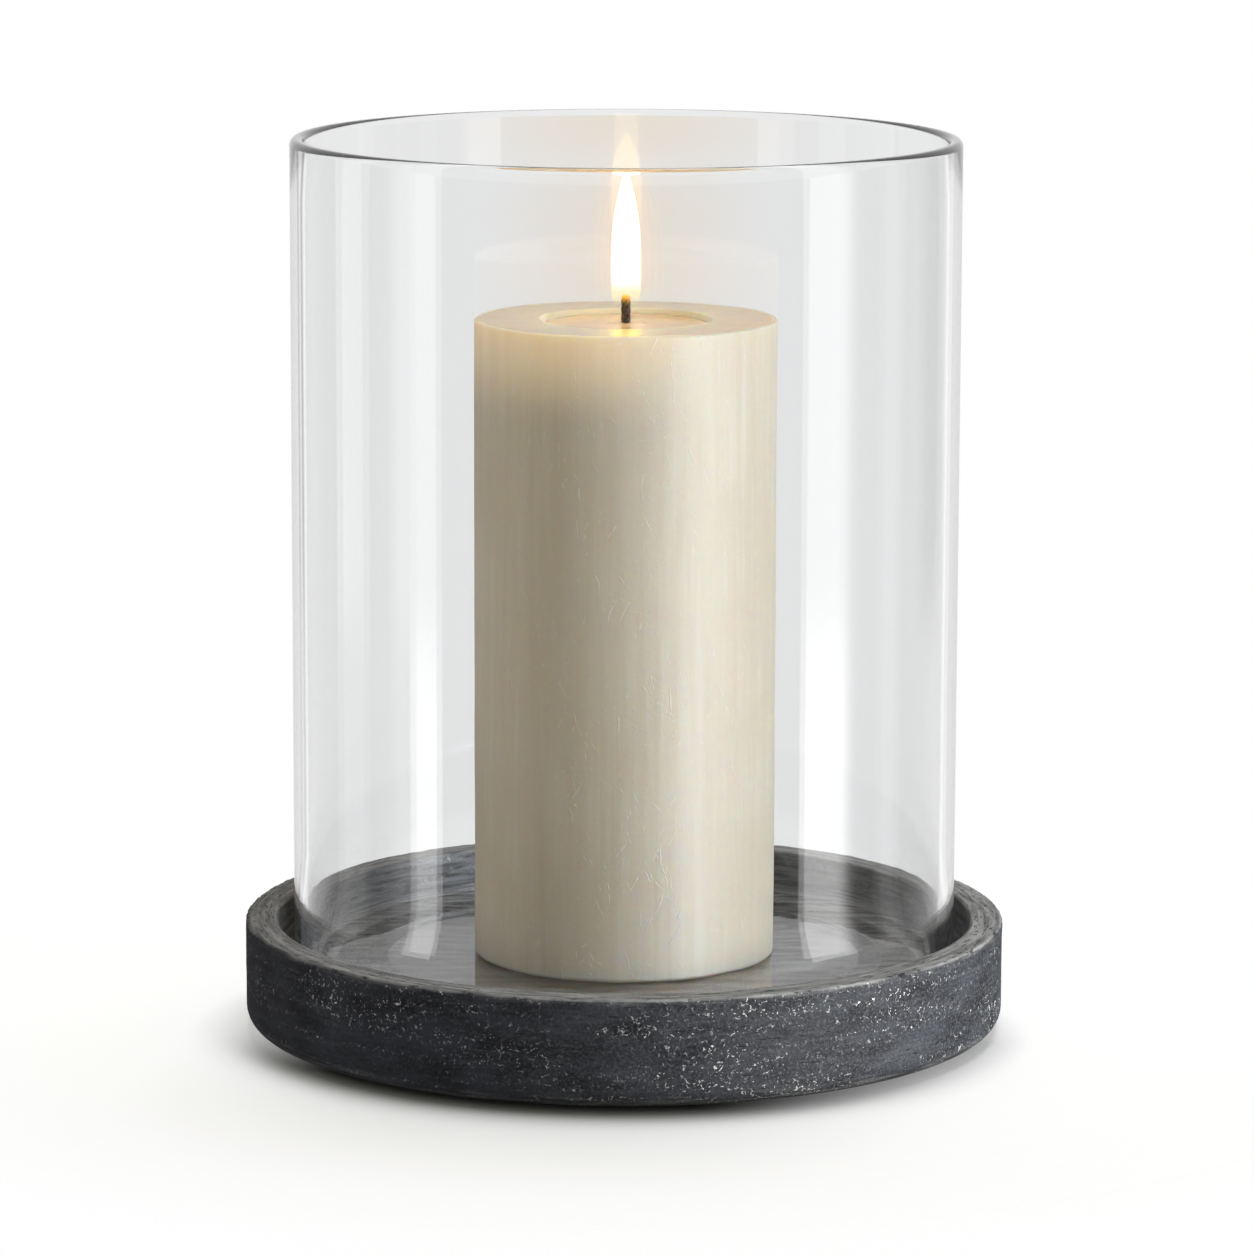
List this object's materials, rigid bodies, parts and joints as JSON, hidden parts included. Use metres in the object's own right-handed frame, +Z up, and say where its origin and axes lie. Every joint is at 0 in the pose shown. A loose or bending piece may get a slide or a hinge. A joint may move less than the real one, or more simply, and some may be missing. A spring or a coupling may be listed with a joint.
{
  "type": "hurricane candle lantern",
  "caption": "Round stone tray with a recess that holds a clear closed-floor glass cylinder with an ivory pillar candle inside; the glass lifts off the tray and the candle lifts out.",
  "frame": {"origin": "on the lantern's axis, at the surface that the felt pads stand on", "axes": "+Z up along the axis of the tray, glass and candle"},
  "size_m": [0.177, 0.177, 0.2082],
  "materials": {
    "dark_stone": "matte",
    "clear_glass": "polished",
    "ivory_wax": "satin",
    "cotton_wick": "matte",
    "tinned_steel": "satin",
    "black_felt": "matte"
  },
  "bodies": {
    "tray": {"stone_tray": "dark_stone", "felt_pad_1": "black_felt", "felt_pad_2": "black_felt", "felt_pad_3": "black_felt", "felt_pad_4": "black_felt"},
    "glass": {"glass_cylinder": "clear_glass"},
    "candle": {"pillar_candle": "ivory_wax", "wick": "cotton_wick", "wick_sustainer": "tinned_steel"}
  },
  "joints": [
    {"name": "glass_lift", "type": "slide", "parent": "tray", "child": "glass", "axis": [0, 0, 1], "range_m": [0, 0.06]},
    {"name": "candle_lift", "type": "slide", "parent": "glass", "child": "candle", "axis": [0, 0, 1], "range_m": [0, 0.2]}
  ]
}
